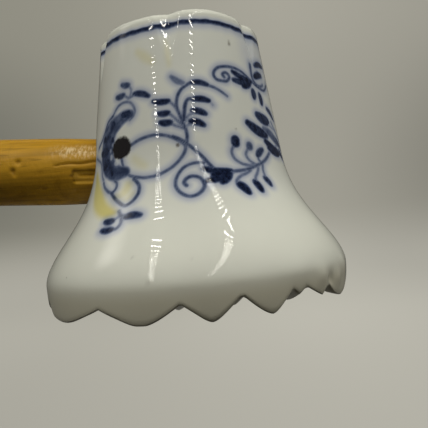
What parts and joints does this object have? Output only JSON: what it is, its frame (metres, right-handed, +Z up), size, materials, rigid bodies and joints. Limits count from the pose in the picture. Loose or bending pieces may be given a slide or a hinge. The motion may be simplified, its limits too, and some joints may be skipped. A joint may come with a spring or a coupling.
{
  "type": "meat mallet",
  "caption": "Kitchen meat mallet: a hollow bell-shaped porcelain head with a toothed striking face, bedded in plaster on the end of a round wooden handle.",
  "frame": {"origin": "on the axis of the head, at the tip of the middle tooth of the striking face", "axes": "+Z up the axis of the head from the teeth to the flat top, -X along the handle towards its free end"},
  "size_m": [0.2519, 0.075, 0.0676],
  "materials": {
    "porcelain": "glossy clear glaze over white porcelain with blue underglaze sprigs",
    "handle_wood": "worn golden brown varnish",
    "plaster": "matt set plaster"
  },
  "bodies": {
    "root": {"porcelain_head": "porcelain", "wooden_handle": "handle_wood", "plaster_core": "plaster"}
  },
  "joints": []
}
